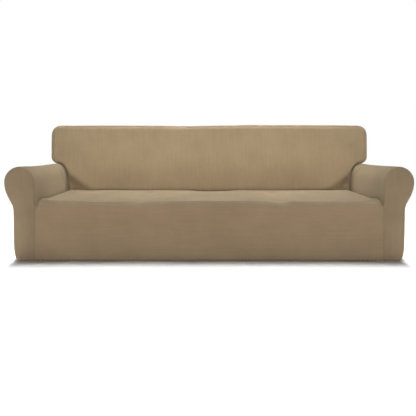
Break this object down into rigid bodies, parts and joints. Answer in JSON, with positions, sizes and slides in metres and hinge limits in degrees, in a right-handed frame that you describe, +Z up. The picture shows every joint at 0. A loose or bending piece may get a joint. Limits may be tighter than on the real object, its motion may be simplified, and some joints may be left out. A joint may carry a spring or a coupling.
{
  "type": "sofa slipcover",
  "caption": "Fitted stretch-knit cover for a long rolled-arm sofa: T-shaped back with wings over the arms, tucked seat, skirt to the floor and an elastic hem.",
  "frame": {"origin": "on the floor, at the middle of the cover's box", "axes": "+X to the right as seen from the front, along the cover's length; +Y from the front to the back; +Z up"},
  "size_m": [2.67, 0.926, 0.926],
  "materials": {
    "front_skirt": "matt stretch knit, sand brown",
    "seat_panel": "matt stretch knit, sand brown",
    "inside_back": "matt stretch knit, sand brown",
    "outside_back": "matt stretch knit, sand brown",
    "arm_wrap": "matt stretch knit, sand brown",
    "arm_front": "matt stretch knit, sand brown"
  },
  "bodies": {
    "root": {"front_skirt": "front_skirt", "seat_panel": "seat_panel", "inside_back": "inside_back", "outside_back": "outside_back", "arm_wrap_left": "arm_wrap", "arm_wrap_right": "arm_wrap", "arm_front_left": "arm_front", "arm_front_right": "arm_front"}
  },
  "joints": []
}
